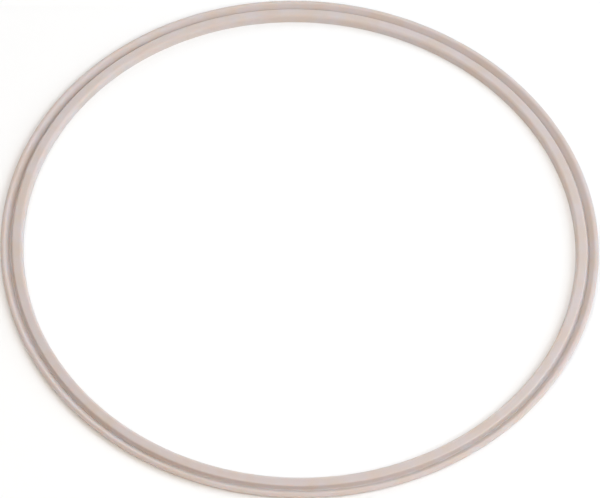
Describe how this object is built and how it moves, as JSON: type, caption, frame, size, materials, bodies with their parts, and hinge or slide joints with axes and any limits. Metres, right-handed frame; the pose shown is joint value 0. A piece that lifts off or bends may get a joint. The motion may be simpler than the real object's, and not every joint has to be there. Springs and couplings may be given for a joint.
{
  "type": "pressure cooker sealing ring",
  "caption": "Flat moulded silicone sealing ring for a stovetop pressure cooker's lid, with a broad inner bead, a groove and a slim outer lip.",
  "frame": {"origin": "centre of the flat underside, on the ring's axis", "axes": "+Z along the ring's axis, out of the grooved face that presses on the pot's rim; the underside lies at z = 0"},
  "size_m": [0.24, 0.24, 0.0033],
  "materials": {
    "silicone": "satin, moulded translucent silicone, pale warm grey-pink"
  },
  "bodies": {
    "root": {"sealing_ring": "silicone"}
  },
  "joints": []
}
